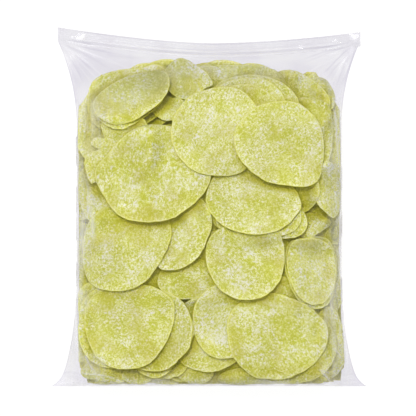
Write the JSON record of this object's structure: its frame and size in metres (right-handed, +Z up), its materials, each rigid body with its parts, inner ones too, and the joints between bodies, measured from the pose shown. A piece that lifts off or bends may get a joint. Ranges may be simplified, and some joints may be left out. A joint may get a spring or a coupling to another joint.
{
  "type": "bag of sago papads",
  "caption": "Clear press-to-close bag stuffed with thin, round, pale green-yellow raw sago papads, lying on its back, with a ribbed zip along its sagging mouth and ears at its bottom corners.",
  "frame": {"origin": "on the floor under the middle of the whole bag, as it lies on its back", "axes": "+X across the bag to the picture's right, +Y from its bottom edge to its mouth, +Z up, out of the side that the picture shows"},
  "size_m": [0.254, 0.29, 0.0721],
  "materials": {
    "papad": "dry raw papad, finely grained, pale green-yellow and slightly see-through",
    "film": "thin clear film, glossy, faintly hazy at its folds",
    "zip": "clear pressed ribs, glossy"
  },
  "bodies": {
    "root": {"bag": "papad", "zip_strip": "zip"}
  },
  "joints": []
}
